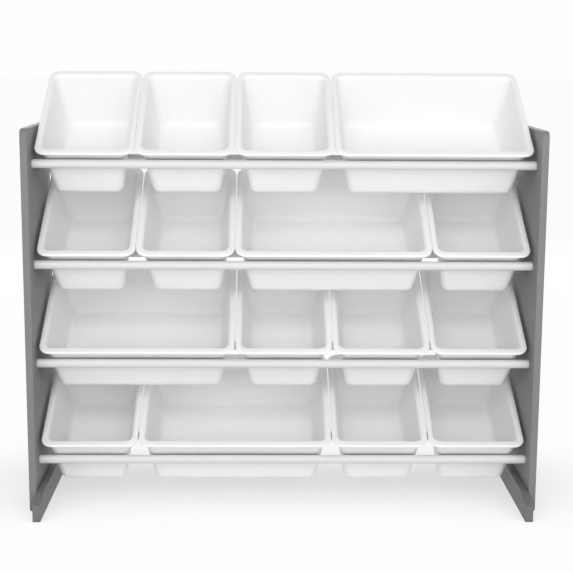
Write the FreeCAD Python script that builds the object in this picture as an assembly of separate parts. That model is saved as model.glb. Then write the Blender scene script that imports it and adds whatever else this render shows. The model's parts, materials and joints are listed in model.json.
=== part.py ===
import FreeCAD, Part
import math
import os

# Toy organizer: two painted side panels on foot boards, four rows of round bars,
# sixteen plastic bins that lie tilted on the bars.  Millimetres, +Z up.
# Origin: on the floor, in the middle of the organizer's overall width and depth.
# Its front looks along -Y.

# ---- driving dimensions -------------------------------------------------------

overall_width = 1067.0          # outer face to outer face of the side panels
panel_thickness = 15.0
panel_height = 805.0
panel_front_radius = 15.0       # the two rounded front corners of a side panel
panel_back_radius = 6.0
panel_edge_round = 1.5          # softened arrises

foot_thickness = 16.0
foot_height = 48.0
foot_nose_height = 34.0
foot_reach = 56.0               # how far the nose stands in front of the panel
foot_slope_back = 8.0           # where the slope ends, behind the panel's front edge
foot_back_gap = 10.0            # foot stops this far short of the panel's back edge
foot_edge_round = 2.0
foot_nose_radius = 5.0

row_count = 4
first_bar_height = 103.0        # axis of the lowest front bar above the floor
row_pitch = 209.5
bar_setback = 49.5              # axis of a front bar behind the panel's front edge
rear_bar_distance = 188.0       # axis to axis, front bar to rear bar; the panel ends
                                # as far behind the rear bars as it starts before the front ones
rear_bar_drop = 3.4             # how much lower the rear bar lies

bar_diameter = 18.4
sleeve_wall = 1.2
fit_gap = 0.05                  # radial clearance inside a bar
core_wall = 1.2
plug_length = 32.0
bar_end_chamfer = 0.6

bar_screw_diameter = 6.0
bar_screw_length = 42.0
bar_screw_head = 11.5
bar_screw_head_depth = 3.2
screw_gap = 0.25                # radial clearance of a screw in its panel hole
thread_gap = 0.05               # radial clearance left in a modelled thread hole
driver_socket = 4.0             # across flats of the hexagon socket
driver_socket_depth = 2.4

foot_screw_diameter = 4.0
foot_screw_length = 27.0
foot_screw_head = 8.0
foot_screw_head_depth = 2.4
foot_screw_count = 3
foot_screw_margin = 38.0        # first and last screw from the ends of the joint

row_units = 5                   # a row holds five small widths; a large bin takes two
bin_gap = 2.0                   # between the rims of neighbouring bins
row_end_gap = 7.0               # between the outermost rims and the side panels
bin_length = 306.5              # rim, front to back
bin_depth = 125.5
bin_wall = 2.2
bin_end_draft = 5.0             # degrees, front and back wall
bin_side_draft = 9.2            # degrees, side walls
bin_end_inset = 16.5            # rim edge to outer face of front and back wall
bin_side_inset = 10.6           # rim edge to outer face of a side wall
rim_corner = 24.0
wall_corner = 17.0
bottom_round = 14.0
rim_roll = 8.0                  # inner radius where the flange turns into the wall
rim_lip = 5.0                   # full height of the turned-down edge
rim_edge_bevel = 1.2
seat_gap = 0.3                  # bin wall and bin floor to the bars at rest

# top row first: bin units from left to right (2 = double width) and rim tilt in degrees
rows = [
    ([1, 1, 1, 2], 31.7),
    ([1, 1, 2, 1], 31.1),
    ([2, 1, 1, 1], 29.5),
    ([1, 2, 1, 1], 26.2),
]

# ---- derived places -----------------------------------------------------------

panel_depth = 2 * bar_setback + rear_bar_distance
inner_width = overall_width - 2 * panel_thickness
unit_pitch = (inner_width - 2 * row_end_gap + bin_gap) / row_units
bar_radius = bar_diameter / 2.0


def seat_offset(tilt):
    """Front rim edge of a bin relative to its front bar axis, as (dy, dz).

    In the bin's own plane u runs along the rim and v down into the bin.  The
    floor lies on the rear bar and the front wall leans on the front bar.
    """
    along = (math.cos(tilt), math.sin(tilt))
    down = (math.sin(tilt), -math.cos(tilt))
    bar_step_v = rear_bar_distance * down[0] - rear_bar_drop * down[1]
    v_rear = bin_depth + bar_radius + seat_gap
    v_front = v_rear - bar_step_v
    draft = math.radians(bin_end_draft)
    wall_u = bin_end_inset + v_front * math.tan(draft)
    u_front = wall_u - (bar_radius + seat_gap) / math.cos(draft)
    return (
        -(u_front * along[0] + v_front * down[0]),
        -(u_front * along[1] + v_front * down[1]),
    )


def bin_reach(tilt):
    """Rearmost point of a resting bin, its round bottom edge, behind the front bar's axis."""
    draft = math.radians(bin_end_draft)
    centre_v = bin_depth - bottom_round
    centre_u = bin_length - bin_end_inset - centre_v * math.tan(draft) - bottom_round / math.cos(draft)
    return seat_offset(tilt)[0] + centre_u * math.cos(tilt) + centre_v * math.sin(tilt) + bottom_round


deepest = max(bin_reach(math.radians(tilt)) for _, tilt in rows)
front_y = (foot_reach - bar_setback - deepest) / 2.0      # plane of the panels' front edges
front_bar_y = front_y + bar_setback
rear_bar_y = front_bar_y + rear_bar_distance


def front_bar_z(row):
    """Axis height of the front bar of a row; row 1 is the top row."""
    return first_bar_height + (row_count - row) * row_pitch


def rear_bar_z(row):
    return front_bar_z(row) - rear_bar_drop


def bar_axes():
    """Name, y and z of every bar axis."""
    axes = []
    for row in range(1, row_count + 1):
        axes.append(("front_%d" % row, front_bar_y, front_bar_z(row)))
        axes.append(("rear_%d" % row, rear_bar_y, rear_bar_z(row)))
    return axes


def vec(x, y, z):
    return FreeCAD.Vector(x, y, z)


def export(shape, node):
    shape.exportStep("parts/%s.step" % node)


def outline_face(points, radii):
    """Face in the YZ plane: corner points with one fillet radius per corner."""
    count = len(points)
    starts, ends, edges = [], [], []
    for i, (y, z) in enumerate(points):
        here = vec(0, y, z)
        before = vec(0, *points[i - 1]) - here
        after = vec(0, *points[(i + 1) % count]) - here
        before.normalize()
        after.normalize()
        half = before.getAngle(after) / 2.0
        reach = radii[i] / math.tan(half) if radii[i] else 0.0
        starts.append(here + before * reach)
        ends.append(here + after * reach)
        if radii[i]:
            bisector = before + after
            bisector.normalize()
            centre = here + bisector * (radii[i] / math.sin(half))
            middle = centre - bisector * radii[i]
            edges.append([Part.Arc(starts[i], middle, ends[i]).toShape()])
        else:
            edges.append([])
    chain = []
    for i in range(count):
        chain += edges[i]
        if ends[i].distanceToPoint(starts[(i + 1) % count]) > 1e-6:
            chain.append(Part.makeLine(ends[i], starts[(i + 1) % count]))
    return Part.Face(Part.Wire(chain))


def fillet_outline(board, radius, x_low, x_high):
    """Round the arrises that run round both broad faces of a board."""
    arrises = []
    for edge in board.Edges:
        box = edge.BoundBox
        on_low = abs(box.XMin - x_low) < 1e-3 and abs(box.XMax - x_low) < 1e-3
        on_high = abs(box.XMin - x_high) < 1e-3 and abs(box.XMax - x_high) < 1e-3
        if on_low or on_high:
            arrises.append(edge)
    return board.makeFillet(radius, arrises)


# ---- screws and their holes ---------------------------------------------------


def screw_solid(diameter, length, head, head_depth, socket, socket_depth):
    """Countersunk screw along +X from its head face at x = 0."""
    shank = Part.makeCylinder(diameter / 2.0, length, vec(0, 0, 0), vec(1, 0, 0))
    cone = Part.makeCone(head / 2.0, diameter / 2.0, head_depth, vec(0, 0, 0), vec(1, 0, 0))
    corners = []
    for k in range(7):
        angle = math.radians(60 * k)
        reach = socket / 2.0 / math.cos(math.radians(30))
        corners.append(vec(0, reach * math.cos(angle), reach * math.sin(angle)))
    hexagon = Part.Face(Part.makePolygon(corners)).extrude(vec(socket_depth, 0, 0))
    return shank.fuse(cone).removeSplitter().cut(hexagon)


def screw_hole(diameter, length, head, head_depth, gap):
    """Clearance for such a screw, open at x = 0."""
    bore = Part.makeCylinder(diameter / 2.0 + gap, length, vec(0, 0, 0), vec(1, 0, 0))
    seat = Part.makeCone(head / 2.0 + gap, diameter / 2.0 + gap, head_depth, vec(0, 0, 0), vec(1, 0, 0))
    return bore.fuse(seat)


def place_on_side(shape, side, y, z):
    """Bring a shape that runs along +X from x = 0 onto the outer face of a panel."""
    placed = shape.copy()
    if side > 0:
        placed.rotate(vec(0, 0, 0), vec(0, 0, 1), 180)
    placed.translate(vec(side * overall_width / 2.0, y, z))
    return placed


def foot_screw_places():
    """Screws from the panel into the foot board, spread along their joint."""
    low = front_y + foot_screw_margin
    high = front_y + panel_depth - foot_back_gap - foot_screw_margin
    step = (high - low) / (foot_screw_count - 1)
    return [(low + step * k, foot_height / 2.0) for k in range(foot_screw_count)]


# ---- frame pieces -------------------------------------------------------------


def side_panel(side):
    back_y = front_y + panel_depth
    face = outline_face(
        [(front_y, 0), (back_y, 0), (back_y, panel_height), (front_y, panel_height)],
        [panel_front_radius, panel_back_radius, panel_back_radius, panel_front_radius],
    )
    x_low = min(side * inner_width / 2.0, side * overall_width / 2.0)
    face.translate(vec(x_low, 0, 0))
    board = face.extrude(vec(panel_thickness, 0, 0))
    board = fillet_outline(board, panel_edge_round, x_low, x_low + panel_thickness)
    reach = panel_thickness + 1.0
    bar_hole = screw_hole(bar_screw_diameter, reach, bar_screw_head, bar_screw_head_depth, screw_gap)
    foot_hole = screw_hole(foot_screw_diameter, reach, foot_screw_head, foot_screw_head_depth, screw_gap)
    holes = [place_on_side(bar_hole, side, y, z) for _, y, z in bar_axes()]
    holes += [place_on_side(foot_hole, side, y, z) for y, z in foot_screw_places()]
    return board.cut(holes)


def foot_board(side):
    nose_y = front_y - foot_reach
    slope_y = front_y + foot_slope_back
    back_y = front_y + panel_depth - foot_back_gap
    slope_radius = 2.2 * (foot_height - foot_nose_height)
    face = outline_face(
        [(nose_y, 0), (back_y, 0), (back_y, foot_height), (slope_y, foot_height), (nose_y, foot_nose_height)],
        [foot_edge_round, foot_edge_round, foot_nose_radius, slope_radius, foot_nose_radius],
    )
    x_low = inner_width / 2.0 - foot_thickness if side > 0 else -inner_width / 2.0
    face.translate(vec(x_low, 0, 0))
    board = face.extrude(vec(foot_thickness, 0, 0))
    board = fillet_outline(board, foot_edge_round / 2.0, x_low, x_low + foot_thickness)
    bite = foot_screw_length - panel_thickness
    pilot = Part.makeCylinder(foot_screw_diameter / 2.0 + thread_gap, bite + 1.0, vec(0, 0, 0), vec(1, 0, 0))
    pilot.translate(vec(panel_thickness, 0, 0))
    return board.cut([place_on_side(pilot, side, y, z) for y, z in foot_screw_places()])


def tube_along_x(outer, inner, length):
    outside = Part.makeCylinder(outer, length, vec(-length / 2.0, 0, 0), vec(1, 0, 0))
    inside = Part.makeCylinder(inner, length + 2.0, vec(-length / 2.0 - 1.0, 0, 0), vec(1, 0, 0))
    return outside.cut(inside)


def bar_sleeve():
    tube = tube_along_x(bar_radius, bar_radius - sleeve_wall, inner_width)
    rims = [e for e in tube.Edges if hasattr(e.Curve, "Radius") and abs(e.Curve.Radius - bar_radius) < 1e-6]
    rims = [e for e in rims if e.BoundBox.XLength < 1e-6]
    return tube.makeChamfer(bar_end_chamfer, rims)


def bar_core():
    outer = bar_radius - sleeve_wall - fit_gap
    return tube_along_x(outer, outer - core_wall, inner_width)


def bar_plug():
    """Nylon plug from x = 0 inwards, bored for the bar screw."""
    radius = bar_radius - sleeve_wall - 2 * fit_gap - core_wall
    plug = Part.makeCylinder(radius, plug_length, vec(0, 0, 0), vec(1, 0, 0))
    depth = bar_screw_length - panel_thickness + 1.0
    bore = Part.makeCylinder(bar_screw_diameter / 2.0 + thread_gap, depth, vec(0, 0, 0), vec(1, 0, 0))
    plug = plug.cut(bore)
    plug.translate(vec(panel_thickness, 0, 0))
    return plug


# ---- bins ---------------------------------------------------------------------


def rounded_rectangle(half_x, y_low, y_high, radius, z):
    """Closed wire at height z, symmetric about x = 0."""
    swing = radius * math.sqrt(0.5)
    wire = []
    corners = [(half_x, y_low), (half_x, y_high), (-half_x, y_high), (-half_x, y_low)]
    arcs = []
    for x, y in corners:
        sx = 1 if x > 0 else -1
        sy = 1 if y == y_high else -1
        cx, cy = x - sx * radius, y - sy * radius
        on_x = vec(x, cy, z)
        on_y = vec(cx, y, z)
        middle = vec(cx + sx * swing, cy + sy * swing, z)
        ends = (on_y, on_x) if sx * sy < 0 else (on_x, on_y)
        arcs.append((ends[0], middle, ends[1]))
    for k, (start, middle, end) in enumerate(arcs):
        wire.append(Part.Arc(start, middle, end).toShape())
        wire.append(Part.makeLine(end, arcs[(k + 1) % 4][0]))
    return Part.Wire(wire)


def tapered_tub(half_x, y_low, y_high, corner, depth, bottom_radius, top):
    """Solid with flat walls that narrows with the draft from z = top down to z = -depth.

    Its upright edges are rounded first and then its bottom edges.
    """
    side_slope = math.tan(math.radians(bin_side_draft))
    end_slope = math.tan(math.radians(bin_end_draft))
    rings = []
    for z in (top, -depth):
        x, low, high = half_x + z * side_slope, y_low - z * end_slope, y_high + z * end_slope
        rings.append([vec(-x, low, z), vec(x, low, z), vec(x, high, z), vec(-x, high, z)])
    loops = [rings[0], rings[1]]
    for k in range(4):
        after = (k + 1) % 4
        loops.append([rings[0][k], rings[0][after], rings[1][after], rings[1][k]])
    faces = [Part.Face(Part.makePolygon(loop + loop[:1])) for loop in loops]
    shell = Part.makeShell(faces)
    shell.sewShape()
    tub = Part.makeSolid(shell)
    upright = [e for e in tub.Edges if e.BoundBox.ZLength > 1.0]
    tub = tub.makeFillet(corner, upright)
    floor_edges = [e for e in tub.Edges if abs(e.BoundBox.ZMax + depth) < 1e-3]
    return tub.makeFillet(bottom_radius, floor_edges)


def plate(width, low, high, corner, z_low, z_high):
    wire = rounded_rectangle(width / 2.0, low, high, corner, z_low)
    return Part.Face(wire).extrude(vec(0, 0, z_high - z_low))


def edges_at(shape, z, half_x, y_low, y_high):
    """Edges of the horizontal loop at height z that lies within the given rectangle."""
    found = []
    for edge in shape.Edges:
        box = edge.BoundBox
        level = abs(box.ZMin - z) < 1e-3 and abs(box.ZMax - z) < 1e-3
        within_x = max(abs(box.XMin), abs(box.XMax)) < half_x
        if level and within_x and box.YMin > y_low and box.YMax < y_high:
            found.append(edge)
    return found


def rim_edges(shape, z, half_x, y_low, y_high):
    """Edges at height z that lie outside the given rectangle."""
    inner = [e.hashCode() for e in edges_at(shape, z, half_x, y_low, y_high)]
    every = edges_at(shape, z, 1e4, -1e4, 1e4)
    return [e for e in every if e.hashCode() not in inner]


def bin_solid(width):
    """Bin with its rim plane at z = 0 and its front rim edge at y = 0."""
    half = width / 2.0
    outside = tapered_tub(
        half - bin_side_inset, bin_end_inset, bin_length - bin_end_inset,
        wall_corner, bin_depth, bottom_round, -bin_wall / 2.0,
    )
    flange = plate(width, 0, bin_length, rim_corner, -bin_wall, 0)
    body = flange.fuse(outside).removeSplitter()
    margin = bin_wall + rim_edge_bevel
    within = (half - margin, margin, bin_length - margin)
    body = body.makeFillet(rim_roll - bin_wall, edges_at(body, -bin_wall, *within))
    inner_corner = rim_corner - bin_wall
    skirt = plate(width, 0, bin_length, rim_corner, -rim_lip, -bin_wall)
    hollow = plate(width - 2 * bin_wall, bin_wall, bin_length - bin_wall, inner_corner, -rim_lip - 1, 0)
    body = body.fuse(skirt.cut(hollow)).removeSplitter()
    inside = tapered_tub(
        half - bin_side_inset - bin_wall, bin_end_inset + bin_wall, bin_length - bin_end_inset - bin_wall,
        wall_corner - bin_wall, bin_depth - bin_wall, bottom_round - bin_wall, 1.0,
    )
    body = body.cut(inside)
    body = body.makeFillet(rim_roll, edges_at(body, 0, *within))
    return body.makeChamfer(rim_edge_bevel, rim_edges(body, 0, *within))


def bin_places():
    """Node name, units wide, x of the bin's middle, row and tilt, left to right."""
    places = []
    for row, (units, tilt) in enumerate(rows, start=1):
        x = -sum(units) * unit_pitch / 2.0
        for k, unit in enumerate(units, start=1):
            kind = "small" if unit == 1 else "large"
            places.append(("%s_bin_row%d_%d" % (kind, row, k), unit, x + unit * unit_pitch / 2.0, row, tilt))
            x += unit * unit_pitch
    return places


def place_bin(shape, x, row, tilt):
    placed = shape.copy()
    dy, dz = seat_offset(math.radians(tilt))
    placed.rotate(vec(0, 0, 0), vec(1, 0, 0), tilt)
    placed.translate(vec(x, front_bar_y + dy, front_bar_z(row) + dz))
    return placed


# ---- build --------------------------------------------------------------------


def build():
    os.makedirs("parts", exist_ok=True)
    for side, word in ((-1, "left"), (1, "right")):
        export(side_panel(side), "side_panel_" + word)
        export(foot_board(side), "foot_board_" + word)
        plug = bar_plug()
        screw = screw_solid(
            bar_screw_diameter, bar_screw_length, bar_screw_head, bar_screw_head_depth,
            driver_socket, driver_socket_depth,
        )
        foot_screw = screw_solid(
            foot_screw_diameter, foot_screw_length, foot_screw_head, foot_screw_head_depth,
            driver_socket * foot_screw_head / bar_screw_head,
            driver_socket_depth * foot_screw_head_depth / bar_screw_head_depth,
        )
        plugs = [place_on_side(plug, side, y, z) for _, y, z in bar_axes()]
        screws = [place_on_side(screw, side, y, z) for _, y, z in bar_axes()]
        foot_screws = [place_on_side(foot_screw, side, y, z) for y, z in foot_screw_places()]
        export(Part.makeCompound(plugs), "bar_plugs_" + word)
        export(Part.makeCompound(screws), "bar_screws_" + word)
        export(Part.makeCompound(foot_screws), "foot_screws_" + word)

    sleeve = bar_sleeve()
    core = bar_core()
    for name, y, z in bar_axes():
        for shape, node in ((sleeve, "bar_sleeve_" + name), (core, "bar_core_" + name)):
            placed = shape.copy()
            placed.translate(vec(0, y, z))
            export(placed, node)

    by_units = {}
    for node, unit, x, row, tilt in bin_places():
        if unit not in by_units:
            by_units[unit] = bin_solid(unit * unit_pitch - bin_gap)
        export(place_bin(by_units[unit], x, row, tilt), node)
        print(node, "x %.1f row %d tilt %.1f" % (x, row, tilt))
    for unit, shape in by_units.items():
        print("bin", unit, "valid", shape.isValid(), "solids", len(shape.Solids), "volume %.0f" % shape.Volume)


build()
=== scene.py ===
import json
import math

import bpy
import numpy as np
from mathutils import Matrix, Vector


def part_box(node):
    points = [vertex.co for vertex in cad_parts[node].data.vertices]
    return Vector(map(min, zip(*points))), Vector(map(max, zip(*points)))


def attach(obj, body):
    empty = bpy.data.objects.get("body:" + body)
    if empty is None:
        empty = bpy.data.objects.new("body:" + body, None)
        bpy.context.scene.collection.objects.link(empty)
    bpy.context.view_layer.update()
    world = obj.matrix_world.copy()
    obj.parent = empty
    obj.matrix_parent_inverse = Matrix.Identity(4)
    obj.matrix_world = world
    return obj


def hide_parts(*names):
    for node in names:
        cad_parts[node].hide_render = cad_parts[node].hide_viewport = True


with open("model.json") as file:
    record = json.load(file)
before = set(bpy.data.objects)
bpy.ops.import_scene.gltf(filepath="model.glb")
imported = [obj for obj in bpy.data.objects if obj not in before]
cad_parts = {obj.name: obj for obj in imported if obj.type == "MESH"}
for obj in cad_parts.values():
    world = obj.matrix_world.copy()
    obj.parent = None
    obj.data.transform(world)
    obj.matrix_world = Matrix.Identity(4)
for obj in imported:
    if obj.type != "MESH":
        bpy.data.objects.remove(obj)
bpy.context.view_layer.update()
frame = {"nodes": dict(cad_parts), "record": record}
nodes = frame["nodes"]
print("frame loaded:", len(nodes), "nodes")

# mesh helpers: all shapes are arrays of rings, ring by ring of x, y, z in metres


def ringQuads(rings, size, joined=False):
    # four corners of every cell between ring k and k + 1; joined also ties the last ring to the first
    i = np.arange(size)
    j = (i + 1) % size
    a = np.arange(rings if joined else rings - 1)[:, None] * size
    b = (a + size) % (rings * size)
    return np.stack([a + i, b + i, b + j, a + j], axis=-1).reshape(-1, 4)


def meshPiece(name, points, quads, ends=()):
    mesh = bpy.data.meshes.new(name)
    mesh.from_pydata(points.reshape(-1, 3).tolist(), [], quads.tolist() + [e.tolist() for e in ends])
    mesh.polygons.foreach_set("use_smooth", np.ones(len(mesh.polygons), dtype=bool))
    mesh.update()
    piece = bpy.data.objects.new(name, mesh)
    bpy.context.scene.collection.objects.link(piece)
    return piece


def arc(e, v, radius, start, end, count):
    # (e + r cos a, v + r sin a) for a from start to end degrees
    a = np.radians(np.linspace(start, end, count))
    return np.column_stack([e + radius * np.cos(a), v + radius * np.sin(a)])


def between(a, b, shares=(0.02, 0.2, 0.4, 0.6, 0.8, 0.98)):
    # a + (b - a) f for each share f
    return a + (b - a) * np.array(shares)[:, None]


# the bins: lengths in metres, angles in degrees
tub = dict(
    unitWidth=0.203, gap=0.002, length=0.3065, depth=0.1255, wall=0.0022,
    sideInset=0.0106, sideDraft=9.2, endInset=0.0165, endDraft=5.0,
    rimCorner=0.024, wallCorner=0.017, leastCorner=0.003, bottomRound=0.014, floorEdge=0.0015,
    roll=0.008, flangeEdge=0.001, lip=0.005, edgeRound=0.003, lipRound=0.0009, innerRound=0.0006,
    drawIn=0.0008, drawInTop=0.012, drawInLow=0.018,
    rowTilt={"row1": 31.7, "row2": 31.1, "row3": 29.5, "row4": 26.2},
)


def tubSection(inset, draft):
    # closed section of wall and rim, from the middle of the inner floor over the rim to the outer
    # floor: distance e from the rim edge, depth v below the rim, and the corner radius there.
    # Walls are e = inset + v tan(draft); rounds are arcs that touch their neighbours, so each
    # centre stands off its wall by r / cos(draft). A corner radius shrinks by what e moves inwards.
    # A short edge ends each flat, so that its shading stays flat.
    t, d = tub, math.radians(draft)
    slope, lean, wall = math.tan(d), 1 / math.cos(d), tub["wall"]
    inner, floor = inset + wall, t["depth"] - wall
    floorEdge, flangeEdge = (t["floorEdge"], 0), (t["flangeEdge"], 0)

    r = t["bottomRound"] - wall
    low = arc(inner + (floor - r) * slope + r * lean, floor - r, r, 90, 180 - draft, 9)
    top = arc(inner + t["roll"] * (slope - lean), t["roll"], t["roll"], -draft, -90, 10)
    inside = np.vstack([low[:1] + floorEdge, low, between(low[-1], top[0]), top, top[-1:] - flangeEdge])
    insideCorner = t["wallCorner"] - wall - (inside[:, 0] - inner - inside[:, 1] * slope)

    r, q, c = t["edgeRound"], t["lipRound"], t["innerRound"]
    rim = np.vstack([
        [(r + c, 0)], arc(r, r, r, -90, -180, 8),
        arc(q, t["lip"] - q, q, 180, 90, 4), arc(wall - q, t["lip"] - q, q, 90, 0, 4),
        arc(wall + c, wall + c, c, 180, 270, 3),
    ])
    rimCorner = t["rimCorner"] - rim[:, 0]

    r = t["roll"] - wall
    top = arc(inset + t["roll"] * slope - r * lean, t["roll"], r, -90, -draft, 8)
    r = t["bottomRound"]
    low = arc(inset + (t["depth"] - r) * slope + r * lean, t["depth"] - r, r, 180 - draft, 90, 10)
    outside = np.vstack([top[:1] - flangeEdge, top, between(top[-1], low[0]), low, low[-1:] + floorEdge])
    outsideCorner = t["wallCorner"] - (outside[:, 0] - inset - outside[:, 1] * slope)

    section = np.vstack([inside, rim, outside])
    corner = np.concatenate([insideCorner, rimCorner, outsideCorner])
    return section[:, 0], section[:, 1], np.maximum(corner, t["leastCorner"])


def walkRound():
    # walk round a rounded rectangle, anticlockwise from above: the way each point faces, and where
    # its corner centre lies in shares from -1 to 1 of the half width and the half length
    steps = np.linspace(0, 90, 11)
    along = np.array([0.015, 0.15, 0.3, 0.5, 0.7, 0.85, 0.985])[:, None]
    signs = np.array([(1.0, -1.0), (1.0, 1.0), (-1.0, 1.0), (-1.0, -1.0)])
    facing, share = [], []
    for k in range(4):
        here, after = signs[k], signs[(k + 1) % 4]
        facing += [90 * k - 90 + steps, np.full(len(along), 90.0 * k)]
        share += [np.tile(here, (len(steps), 1)), here + (after - here) * along]
    return np.radians(np.concatenate(facing)), np.vstack(share)


def tubRings(width):
    # section along the walk, rim plane z = 0 and front rim edge y = 0:
    #   x = share (half width - e - r) + r cos a, y the same with the length and sin a,
    #   z = -(v of the end + (v of the side - v of the end) cos^2 a)
    # Moulded walls sink in as they cool: by drawIn sin(pi f) (1 - share^2), where f is 0 at drawInTop
    # below the rim and 1 at drawInLow above the bottom.
    eSide, vSide, cornerSide = tubSection(tub["sideInset"], tub["sideDraft"])
    eEnd, vEnd, cornerEnd = tubSection(tub["endInset"], tub["endDraft"])
    r = ((cornerSide + cornerEnd) / 2)[:, None]
    a, share = walkRound()
    halfX, halfY = width / 2, tub["length"] / 2
    x = share[:, 0] * (halfX - eSide[:, None] - r) + r * np.cos(a)
    y = halfY + share[:, 1] * (halfY - eEnd[:, None] - r) + r * np.sin(a)
    v = vEnd[:, None] + (vSide - vEnd)[:, None] * np.cos(a) ** 2
    drawn = (v - tub["drawInTop"]) / (tub["depth"] - tub["drawInTop"] - tub["drawInLow"])
    sink = tub["drawIn"] * np.sin(np.pi * np.clip(drawn, 0, 1))
    x -= np.cos(a) * sink * (1 - share[:, 1] ** 2)
    y -= np.sin(a) * sink * (1 - share[:, 0] ** 2)
    return np.stack([x, y, -v], axis=-1)


def layTub(rings, node, tilt):
    # turn up about X, then move so that the rearmost and the lowest point meet those of the CAD bin
    low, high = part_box(node)
    t = math.radians(tilt)
    x, y, z = rings[..., 0], rings[..., 1], rings[..., 2]
    y, z = y * math.cos(t) - z * math.sin(t), y * math.sin(t) + z * math.cos(t)
    return np.stack([x + (low.x + high.x) / 2, y + high.y - y.max(), z + low.z - z.min()], axis=-1)


def makeTub(node):
    kind, row = node.split("_bin_")[0], node.split("_")[2]
    units = 2 if kind == "large" else 1
    rings = tubRings(units * tub["unitWidth"] + (units - 1) * tub["gap"])
    count, size = rings.shape[:2]
    floors = (np.arange(size), (count - 1) * size + np.arange(size)[::-1])
    laid = layTub(rings, node, tub["rowTilt"][row])
    return meshPiece(node.replace("bin", "tub"), laid, ringQuads(count, size), floors)


# the white bars: tubes with softly rounded ends, open as far in as the eye reaches
bar = dict(
    radius=0.0092, wall=0.0012, endRound=0.0006, endEdge=0.003, boreDepth=0.03, boreEdge=0.0004,
    boreRound=0.0002, around=72,
)


def makeBar(node):
    # tube along X: profile (x, q) turned about the bar's axis, y = q cos a, z = q sin a
    low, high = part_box(node)
    centre, half = (low + high) / 2, (high.x - low.x) / 2
    r, w, c = bar["radius"], bar["wall"], bar["endRound"]
    turn = np.radians((90, 60, 30, 0))
    bore = [(half - bar["boreDepth"], r - w), (half - bar["boreEdge"], r - w), (half, r - w + bar["boreRound"])]
    end = np.column_stack([half - c + c * np.sin(turn), r - c + c * np.cos(turn)])
    right = np.vstack([bore, end, [(half - bar["endEdge"], r)]])
    middle = np.column_stack([half * np.linspace(0.9, -0.9, 13), np.full(13, r)])
    profile = np.vstack([right, middle, right[::-1] * (-1, 1)])
    a = 2 * np.pi * np.arange(bar["around"]) / bar["around"]
    x, q = np.repeat(profile[:, :1], bar["around"], axis=1), profile[:, 1:]
    rings = np.stack([centre.x + x, centre.y + q * np.cos(a), centre.z + q * np.sin(a)], axis=-1)
    quads = ringQuads(len(profile), bar["around"], joined=True)[:, ::-1]
    return meshPiece(node.replace("sleeve", "cover"), rings, quads)


# materials: patterns on Object coordinates, scale in features per metre


def startMaterial(name):
    mat = bpy.data.materials.new(name)
    mat.use_nodes = True
    tree = mat.node_tree
    return mat, tree, tree.nodes["Principled BSDF"], tree.nodes.new("ShaderNodeTexCoord").outputs["Object"]


def noise(tree, coords, scale, detail=3.0, stretch=(1, 1, 1)):
    mapping = tree.nodes.new("ShaderNodeMapping")
    mapping.inputs["Scale"].default_value = stretch
    tree.links.new(coords, mapping.inputs["Vector"])
    tex = tree.nodes.new("ShaderNodeTexNoise")
    tex.inputs["Scale"].default_value = scale
    tex.inputs["Detail"].default_value = detail
    tree.links.new(mapping.outputs["Vector"], tex.inputs["Vector"])
    return tex.outputs["Fac"]


def spread(tree, value, low, high):
    # noise between 0.3 and 0.7 becomes low to high
    node = tree.nodes.new("ShaderNodeMapRange")
    node.inputs["From Min"].default_value = 0.3
    node.inputs["From Max"].default_value = 0.7
    node.inputs["To Min"].default_value = low
    node.inputs["To Max"].default_value = high
    tree.links.new(value, node.inputs["Value"])
    return node.outputs["Result"]


def tint(tree, shader, value, dark, light):
    # base colour between two tones
    node = tree.nodes.new("ShaderNodeMix")
    node.data_type = "RGBA"
    node.inputs["A"].default_value = (*dark, 1)
    node.inputs["B"].default_value = (*light, 1)
    tree.links.new(spread(tree, value, 0, 1), node.inputs["Factor"])
    tree.links.new(node.outputs["Result"], shader.inputs["Base Color"])
    return node.outputs["Result"]


# painted shade in narrow gaps: the base colour falls to tone of itself where nothing is open within reach,
# and is whole where a share of free is open
gapShade = dict(reach=0.014, boardReach=0.025, tone=0.2, free=0.6, samples=4)


def openShare(tree, reach):
    # node whose AO output says, from 0 to 1, how much of the space within reach of a surface is open
    near = tree.nodes.new("ShaderNodeAmbientOcclusion")
    near.samples = gapShade["samples"]
    near.inputs["Distance"].default_value = reach
    return near


# paints shade into the base colour: darker where little of the space within reach is open
def paintGapShade(tree, shader, colour, reach):
    share = tree.nodes.new("ShaderNodeMapRange")
    share.inputs["From Max"].default_value = gapShade["free"]
    share.inputs["To Min"].default_value = gapShade["tone"]
    tree.links.new(openShare(tree, reach).outputs["AO"], share.inputs["Value"])
    node = tree.nodes.new("ShaderNodeMix")
    node.data_type = "RGBA"
    node.inputs["A"].default_value = (0, 0, 0, 1)
    tree.links.new(share.outputs["Result"], node.inputs["Factor"])
    tree.links.new(colour, node.inputs["B"])
    tree.links.new(node.outputs["Result"], shader.inputs["Base Color"])


def roughen(tree, shader, value, low, high):
    tree.links.new(spread(tree, value, low, high), shader.inputs["Roughness"])


def bump(tree, shader, heights):
    # chain of bumps: height, strength, distance in metres
    normal = None
    for height, strength, distance in heights:
        node = tree.nodes.new("ShaderNodeBump")
        node.inputs["Strength"].default_value = strength
        node.inputs["Distance"].default_value = distance
        tree.links.new(height, node.inputs["Height"])
        if normal:
            tree.links.new(normal, node.inputs["Normal"])
        normal = node.outputs["Normal"]
    tree.links.new(normal, shader.inputs["Normal"])


binPlastic = dict(
    dark=(0.935, 0.937, 0.930), light=(0.950, 0.951, 0.945), rough=(0.36, 0.46), gloss=0.38, ior=1.49,
)


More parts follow.
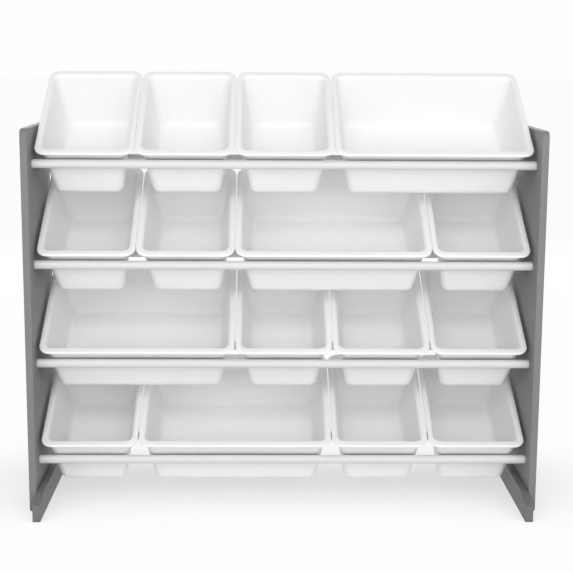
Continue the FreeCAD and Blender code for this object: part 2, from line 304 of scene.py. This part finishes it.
def binMaterial():
    # moulded white plastic: faint cloudiness, fine grain of the mould, soft gloss, painted shade in narrow gaps
    mat, tree, shader, coords = startMaterial("bin_plastic")
    colour = tint(tree, shader, noise(tree, coords, 14), binPlastic["dark"], binPlastic["light"])
    paintGapShade(tree, shader, colour, gapShade["reach"])
    roughen(tree, shader, noise(tree, coords, 45), *binPlastic["rough"])
    shader.inputs["IOR"].default_value = binPlastic["ior"]
    shader.inputs["Specular IOR Level"].default_value = binPlastic["gloss"]
    grain, waves = noise(tree, coords, 1600, 2), noise(tree, coords, 30, 2)
    bump(tree, shader, [(grain, 0.12, 0.00006), (waves, 0.15, 0.0004)])
    return mat


barPlastic = dict(dark=(0.71, 0.712, 0.705), light=(0.74, 0.742, 0.735), rough=(0.30, 0.42), gloss=0.45)


def barMaterial():
    # extruded white sleeve: faint lines along the bar, painted shade in narrow gaps
    mat, tree, shader, coords = startMaterial("bar_plastic")
    lines = noise(tree, coords, 60, 3, (0.03, 8, 8))
    colour = tint(tree, shader, lines, barPlastic["dark"], barPlastic["light"])
    paintGapShade(tree, shader, colour, gapShade["reach"])
    roughen(tree, shader, lines, *barPlastic["rough"])
    shader.inputs["Specular IOR Level"].default_value = barPlastic["gloss"]
    bump(tree, shader, [(lines, 0.1, 0.0001), (noise(tree, coords, 900, 2), 0.08, 0.00005)])
    return mat


greyPaint = dict(
    dark=(0.198, 0.200, 0.203), light=(0.216, 0.218, 0.221), rough=(0.5, 0.62), gloss=0.4, footTone=0.78,
)


def boardMaterial(name, tone):
    # grey painted board: orange peel of the roller, a little tone, dull satin, painted shade in narrow gaps
    mat, tree, shader, coords = startMaterial(name)
    dark, light = (tuple(c * tone for c in greyPaint[k]) for k in ("dark", "light"))
    colour = tint(tree, shader, noise(tree, coords, 7, 4), dark, light)
    paintGapShade(tree, shader, colour, gapShade["boardReach"])
    roughen(tree, shader, noise(tree, coords, 60), *greyPaint["rough"])
    shader.inputs["Specular IOR Level"].default_value = greyPaint["gloss"]
    peel, waves = noise(tree, coords, 420, 3), noise(tree, coords, 40, 2)
    bump(tree, shader, [(peel, 0.25, 0.00012), (waves, 0.1, 0.0004)])
    return mat


steelTube = dict(colour=(0.55, 0.55, 0.56), roughness=0.35, stretch=(0.05, 4, 4))
zincScrew = dict(colour=(0.66, 0.67, 0.69), roughness=0.28, stretch=(1, 1, 1))


def metalMaterial(name, colour, roughness, stretch):
    # drawn or plated steel: grain runs along the piece
    mat, tree, shader, coords = startMaterial(name)
    grain = noise(tree, coords, 300, 3, stretch)
    shader.inputs["Metallic"].default_value = 1.0
    tint(tree, shader, grain, tuple(c * 0.85 for c in colour), colour)
    roughen(tree, shader, grain, roughness - 0.06, roughness + 0.08)
    bump(tree, shader, [(grain, 0.15, 0.00005)])
    return mat


plugNylon = dict(dark=(0.70, 0.69, 0.64), light=(0.76, 0.75, 0.70), rough=(0.45, 0.55))


def plugMaterial():
    # moulded nylon: cloudy cream, matt
    mat, tree, shader, coords = startMaterial("plug_nylon")
    tint(tree, shader, noise(tree, coords, 80), plugNylon["dark"], plugNylon["light"])
    roughen(tree, shader, noise(tree, coords, 200), *plugNylon["rough"])
    return mat


def seenDirectly(tree):
    # 1 for rays from the camera, a mirror or a glass, 0 for the light that objects give each other
    path = tree.nodes.new("ShaderNodeLightPath")
    value = path.outputs["Is Camera Ray"]
    for ray in ("Is Glossy Ray", "Is Transmission Ray"):
        node = tree.nodes.new("ShaderNodeMath")
        node.operation = "MAXIMUM"
        tree.links.new(value, node.inputs[0])
        tree.links.new(path.outputs[ray], node.inputs[1])
        value = node.outputs["Value"]
    return value


# floorTone is the floor's colour, floorPale the share of plain white in what is seen of it.
# A lamp is its name, place, size and power; all of them aim at one point.
studio = dict(
    floorReach=40.0, floorTone=0.88, floorCloud=0.005, floorRough=0.9, floorPale=0.94,
    shadowReach=0.27, shadowTone=0.57, litFrom=(-0.75, 0.66),
    backdrop=0.985, dome=0.50, aim=(0, 0, 0.45),
    lamps=[
        ("low", (0.0, -3.6, 1.15), (7.0, 1.0), 50), ("high", (0.0, -3.5, 2.4), (3.5, 1.2), 50),
        ("behind", (0.0, 3.6, 1.5), (5.0, 1.5), 56),
    ],
)


def floorMaterial():
    # white sweep: seen directly it is mostly plain white with a painted shadow, darker where the shelf stands
    # close over it
    mat, tree, shader, coords = startMaterial("floor_paint")
    tone = studio["floorTone"]
    tint(tree, shader, noise(tree, coords, 1.5, 2), (tone,) * 3, (tone + studio["floorCloud"],) * 3)
    shader.inputs["Roughness"].default_value = studio["floorRough"]
    shader.inputs["Specular IOR Level"].default_value = 0.0
    near = openShare(tree, studio["shadowReach"])
    # painted shadow: what stands between a point and the front light darkens the plain white, so the shadow
    # gathers behind
    lit = tree.nodes.new("ShaderNodeCombineXYZ")
    lit.inputs["Y"].default_value, lit.inputs["Z"].default_value = studio["litFrom"]
    tree.links.new(lit.outputs["Vector"], near.inputs["Normal"])
    shade = tree.nodes.new("ShaderNodeMapRange")
    shade.inputs["To Min"].default_value = studio["shadowTone"]
    tree.links.new(near.outputs["AO"], shade.inputs["Value"])
    # the plain white's strength carries the painted shadow
    pale = tree.nodes.new("ShaderNodeEmission")
    tree.links.new(shade.outputs["Result"], pale.inputs["Strength"])
    share = tree.nodes.new("ShaderNodeMath")
    share.operation = "MULTIPLY"
    share.inputs[1].default_value = studio["floorPale"]
    tree.links.new(seenDirectly(tree), share.inputs[0])
    mix = tree.nodes.new("ShaderNodeMixShader")
    tree.links.new(share.outputs["Value"], mix.inputs["Fac"])
    tree.links.new(shader.outputs["BSDF"], mix.inputs[1])
    tree.links.new(pale.outputs["Emission"], mix.inputs[2])
    tree.links.new(mix.outputs["Shader"], tree.nodes["Material Output"].inputs["Surface"])
    return mat


def paintPiece(piece, mat):
    piece.data.materials.clear()
    piece.data.materials.append(mat)


paint = dict(
    bin_white=binMaterial(),
    bar_white=barMaterial(),
    painted_board=boardMaterial("grey_paint", 1.0),
    foot_board=boardMaterial("foot_paint", greyPaint["footTone"]),
    steel_tube=metalMaterial("steel_tube", **steelTube),
    zinc_screw=metalMaterial("zinc_screw", **zincScrew),
    plug_nylon=plugMaterial(),
)
for part in frame["record"]["subparts"]:
    paintPiece(nodes[part["node"]], paint[part["material_slot"]])
# the foot boards get the grey board paint at footTone of its tone, so they come out darker than the side panels
for side in ("left", "right"):
    paintPiece(nodes["foot_board_" + side], paint["foot_board"])
print("materials made")

for node in nodes:
    if "_bin_" in node:
        piece, finish, body = makeTub(node), "bin_white", node
    elif node.startswith("bar_sleeve_"):
        piece, finish, body = makeBar(node), "bar_white", "frame"
    else:
        continue
    paintPiece(piece, paint[finish])
    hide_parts(node)
    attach(piece, body)
print("bins and bars made")

# floor, light and camera
a = 2 * np.pi * np.arange(96) / 96
disc = np.column_stack([np.cos(a), np.sin(a), np.zeros(96)]) * (studio["floorReach"], studio["floorReach"], 1)
floor = meshPiece("floor", disc, np.zeros((0, 4), int), [np.arange(96)])
paintPiece(floor, floorMaterial())

world = bpy.data.worlds.new("studio")
bpy.context.scene.world = world
world.use_nodes = True
tree = world.node_tree
tree.nodes.clear()
out = tree.nodes.new("ShaderNodeOutputWorld")
mix = tree.nodes.new("ShaderNodeMixShader")
dome = tree.nodes.new("ShaderNodeBackground")
dome.inputs["Strength"].default_value = studio["dome"]
dome.inputs["Color"].default_value = (1, 1, 1, 1)
backdrop = tree.nodes.new("ShaderNodeBackground")
backdrop.inputs["Color"].default_value = (1, 1, 1, 1)
backdrop.inputs["Strength"].default_value = studio["backdrop"]
tree.links.new(seenDirectly(tree), mix.inputs["Fac"])
tree.links.new(dome.outputs["Background"], mix.inputs[1])
tree.links.new(backdrop.outputs["Background"], mix.inputs[2])
tree.links.new(mix.outputs["Shader"], out.inputs["Surface"])


def softLight(name, place, size, power):
    # rectangular diffuser aimed at the middle of the shelf
    lamp = bpy.data.objects.new(name, bpy.data.lights.new(name, "AREA"))
    lamp.data.shape = "RECTANGLE"
    lamp.data.size, lamp.data.size_y = size
    lamp.data.energy = power
    lamp.location = place
    lamp.rotation_euler = (Vector(studio["aim"]) - Vector(place)).to_track_quat("-Z", "Y").to_euler()
    bpy.context.scene.collection.objects.link(lamp)


for name, place, size, power in studio["lamps"]:
    softLight(name, place, size, power)

shot = dict(place=(-0.0481, -2.8391, 0.9685), yaw=1.101, pitch=10.103, roll=0.363, lens=84.28)
yaw, pitch, roll = (math.radians(shot[k]) for k in ("yaw", "pitch", "roll"))
forward = Vector((math.sin(yaw) * math.cos(pitch), math.cos(yaw) * math.cos(pitch), -math.sin(pitch)))
level = Vector((math.cos(yaw), -math.sin(yaw), 0))
upright = level.cross(forward)
right = level * math.cos(roll) + upright * math.sin(roll)
up = upright * math.cos(roll) - level * math.sin(roll)
camera = bpy.data.objects.new("camera", bpy.data.cameras.new("camera"))
bpy.context.scene.collection.objects.link(camera)
camera.matrix_world = Matrix.Translation(shot["place"]) @ Matrix((right, up, -forward)).transposed().to_4x4()
camera.data.sensor_width = 36.0
camera.data.lens = shot["lens"]
camera.data.clip_start = 0.05
camera.data.clip_end = 200.0
bpy.context.scene.camera = camera
bpy.context.scene.view_settings.view_transform = "Standard"
print("studio made")
